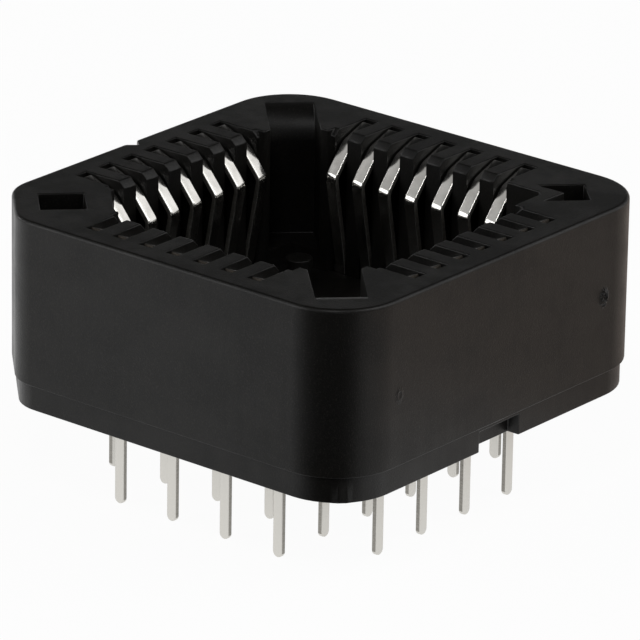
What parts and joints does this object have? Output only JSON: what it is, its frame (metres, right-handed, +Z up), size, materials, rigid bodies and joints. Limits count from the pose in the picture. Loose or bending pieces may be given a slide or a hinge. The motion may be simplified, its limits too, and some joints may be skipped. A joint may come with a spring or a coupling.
{
  "type": "ic socket",
  "caption": "Square black chip carrier socket with an open cavity, sprung contacts in slots along all four sides and straight tails for a circuit board.",
  "frame": {"origin": "centre of the body's outline on the board's surface, where the rim stands", "axes": "+Z up from the board out of the open cavity, +X and +Y square to the sides; the index corner is at -X -Y and the extraction slots are at +X -Y and -X +Y"},
  "size_m": [0.018, 0.018, 0.0112],
  "materials": {
    "housing": "matte, finely grained moulding",
    "contact": "satin tin plating"
  },
  "bodies": {
    "root": {"housing": "housing", "contact_front_1": "contact", "contact_front_2": "contact", "contact_front_3": "contact", "contact_front_4": "contact", "contact_front_5": "contact", "contact_front_6": "contact", "contact_front_7": "contact", "contact_right_1": "contact", "contact_right_2": "contact", "contact_right_3": "contact", "contact_right_4": "contact", "contact_right_5": "contact", "contact_right_6": "contact", "contact_right_7": "contact", "contact_rear_1": "contact", "contact_rear_2": "contact", "contact_rear_3": "contact", "contact_rear_4": "contact", "contact_rear_5": "contact", "contact_rear_6": "contact", "contact_rear_7": "contact", "contact_left_1": "contact", "contact_left_2": "contact", "contact_left_3": "contact", "contact_left_4": "contact", "contact_left_5": "contact", "contact_left_6": "contact", "contact_left_7": "contact"}
  },
  "joints": []
}
